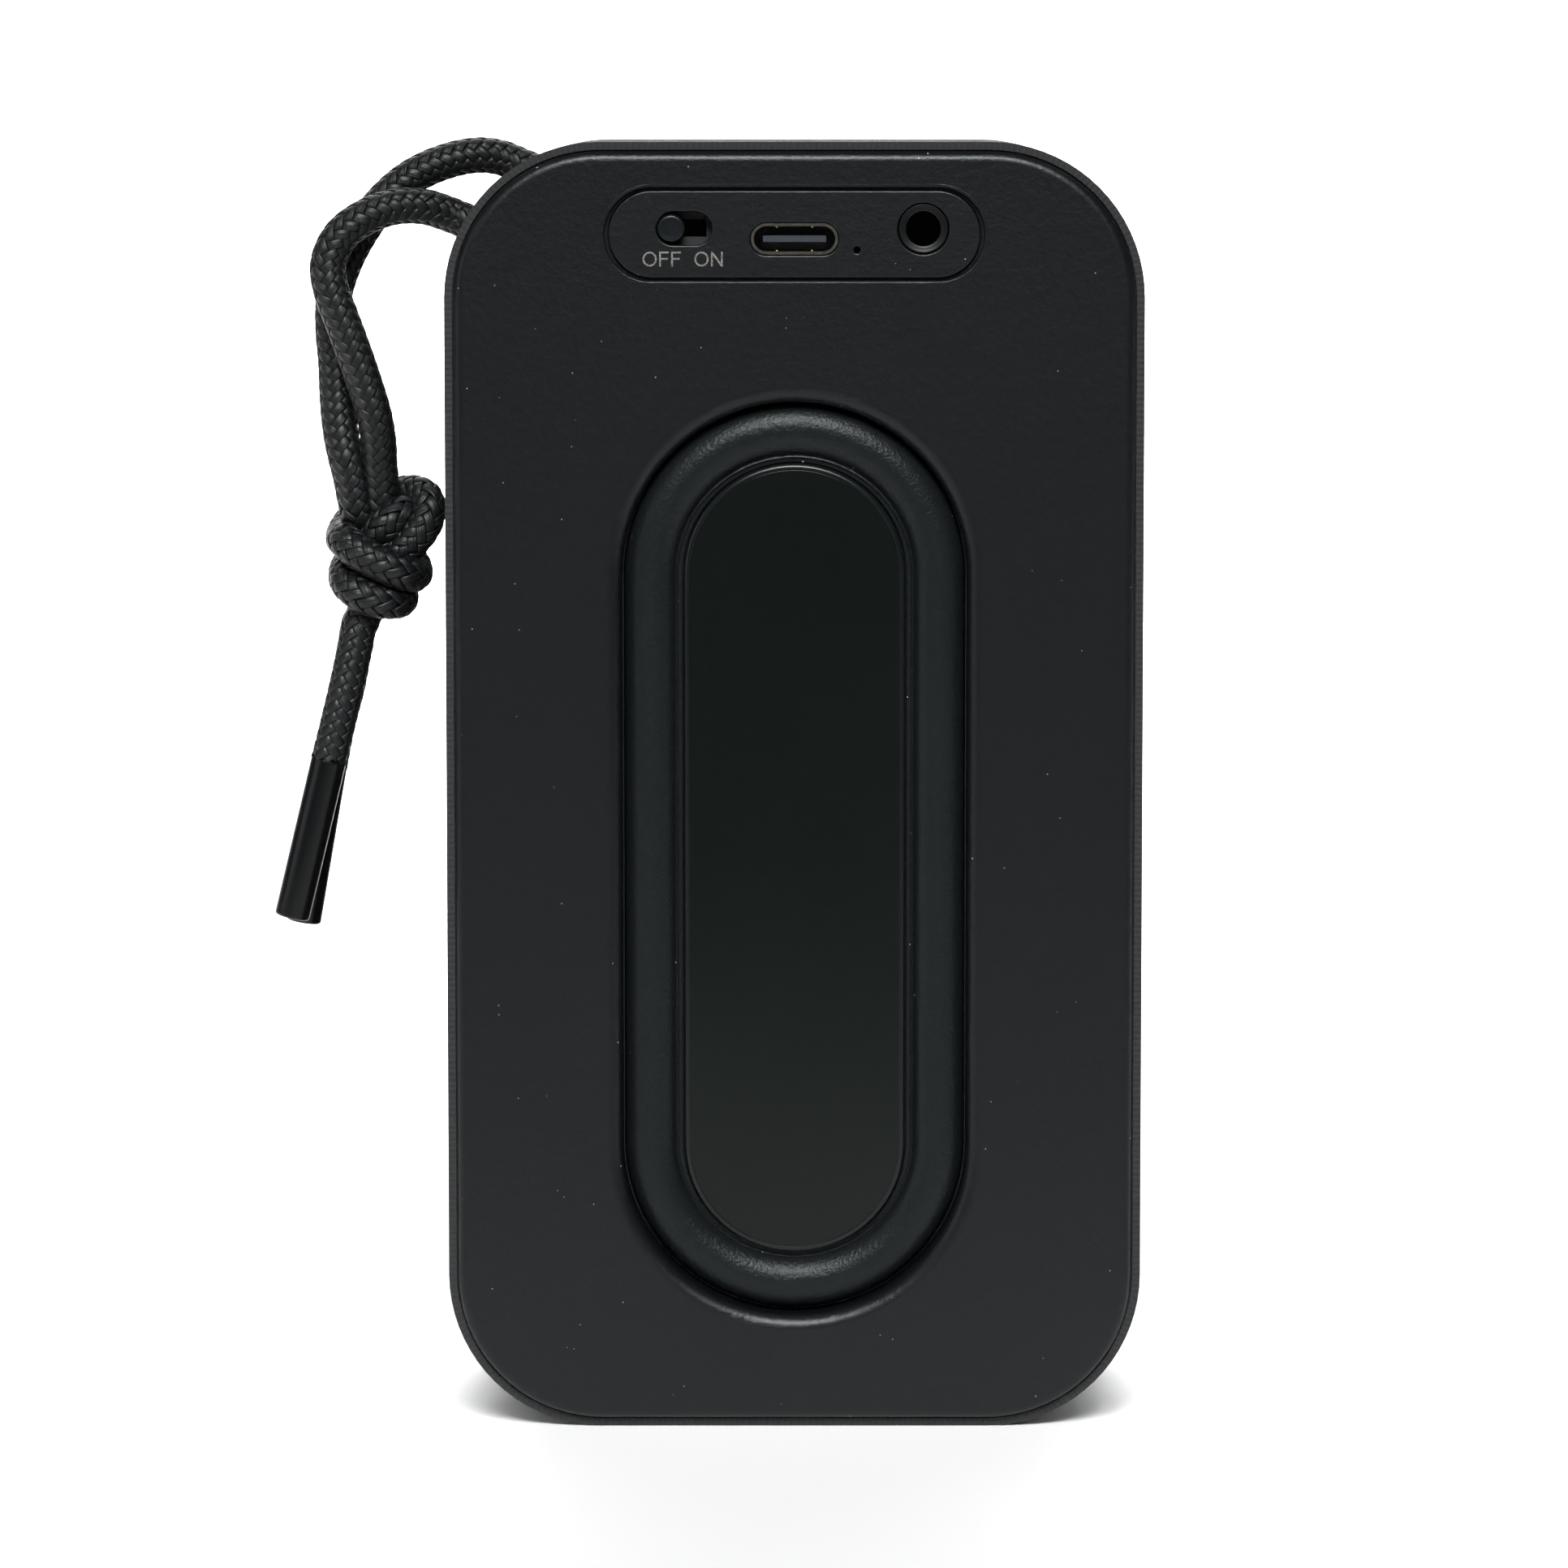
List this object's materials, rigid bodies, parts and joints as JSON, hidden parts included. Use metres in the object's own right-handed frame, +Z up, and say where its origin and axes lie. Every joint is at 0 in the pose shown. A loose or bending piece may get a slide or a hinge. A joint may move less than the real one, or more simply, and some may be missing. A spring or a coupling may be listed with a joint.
{
  "type": "battery loudspeaker",
  "caption": "Upright battery loudspeaker wrapped in black cloth, with a racetrack passive radiator, a port panel and a knotted carrying cord.",
  "frame": {"origin": "middle of the bottom face, under the middle of the body without its cord", "axes": "+Z up along the body's height, -Y out of the rear cover with the ports, +Y out of the front with the keys, the cord hangs at -X"},
  "size_m": [0.0904, 0.04, 0.134],
  "materials": {
    "cloth": "fine woven, black",
    "cover_plastic": "fine matt texture, black",
    "case_plastic": "matt, black",
    "key_rubber": "matt, black",
    "seal_rubber": "matt, dark grey",
    "roll_rubber": "smooth, satin black",
    "gloss_plate": "polished, black",
    "steel": "plain",
    "ferrite": "matt, dark grey",
    "port_metal": "satin",
    "port_plastic": "satin, blue grey",
    "socket_plastic": "satin, black",
    "knob_plastic": "matt, black",
    "brass": "plain",
    "circuit_board": "solder mask, green",
    "chip_plastic": "matt, black",
    "basket_metal": "satin, dark grey",
    "cone_paper": "pressed pulp, black",
    "copper": "enamelled wire",
    "spider_cloth": "resin-stiffened weave, amber",
    "lead_rubber": "smooth",
    "battery_foil": "wrapped cell",
    "tape": "adhesive foam",
    "cord_braid": "braided, black",
    "aglet_plastic": "moulded, glossy black"
  },
  "bodies": {
    "case": {"fabric_wrap": "cloth", "rear_cover": "cover_plastic", "port_panel": "cover_plastic", "control_panel": "cover_plastic", "housing": "case_plastic", "front_grille": "case_plastic", "radiator_frame": "case_plastic", "cord_eyelets": "case_plastic", "board_link": "case_plastic", "key_mat": "key_rubber", "cover_seal": "seal_rubber", "driver_gasket": "seal_rubber", "radiator_surround": "roll_rubber", "driver_surround": "roll_rubber", "case_screws": "steel", "board_screws": "steel", "tact_switches": "steel", "radio_can": "steel", "top_plate": "steel", "yoke": "steel", "driver_screws": "steel", "anchor_pin": "steel", "switch_body": "steel", "ring_magnet": "ferrite", "usb_shell": "port_metal", "usb_tongue": "port_plastic", "aux_jack": "socket_plastic", "microphone": "brass", "driver_terminals": "brass", "port_board": "circuit_board", "main_board": "circuit_board", "board_chips": "chip_plastic", "driver_basket": "basket_metal", "driver_spider": "spider_cloth", "speaker_leads": "lead_rubber", "battery_leads": "lead_rubber", "battery_cell": "battery_foil", "battery_tape": "tape", "cord_bight": "cord_braid", "cord_upper": "cord_braid", "cord_lower": "cord_braid", "cord_knot": "cord_braid", "tail_front": "cord_braid", "tail_rear": "cord_braid", "aglet_front": "aglet_plastic", "aglet_rear": "aglet_plastic"},
    "switch_slider": {"switch_knob": "knob_plastic"},
    "radiator": {"radiator_plate": "gloss_plate", "radiator_weight": "steel"},
    "speaker_cone": {"driver_cone": "cone_paper", "dust_cap": "cone_paper", "voice_coil": "copper"},
    "minus_key": {"key_minus": "key_rubber"},
    "play_key": {"key_play": "key_rubber"},
    "plus_key": {"key_plus": "key_rubber"}
  },
  "joints": [
    {"name": "power_switch", "type": "slide", "parent": "case", "child": "switch_slider", "axis": [1, 0, 0], "range_m": [0, 0.0027]},
    {"name": "radiator_stroke", "type": "slide", "parent": "case", "child": "radiator", "axis": [0, 1, 0], "range_m": [-0.0018, 0.0018], "stiffness_N_per_m": 2500, "deforming": ["radiator_surround"]},
    {"name": "cone_stroke", "type": "slide", "parent": "case", "child": "speaker_cone", "axis": [0, 1, 0], "range_m": [-0.0015, 0.0015], "stiffness_N_per_m": 1500, "deforming": ["driver_surround", "driver_spider"]},
    {"name": "minus_press", "type": "slide", "parent": "case", "child": "minus_key", "axis": [0, -1, 0], "range_m": [0, 0.0008], "stiffness_N_per_m": 400},
    {"name": "play_press", "type": "slide", "parent": "case", "child": "play_key", "axis": [0, -1, 0], "range_m": [0, 0.0008], "stiffness_N_per_m": 400},
    {"name": "plus_press", "type": "slide", "parent": "case", "child": "plus_key", "axis": [0, -1, 0], "range_m": [0, 0.0008], "stiffness_N_per_m": 400}
  ]
}
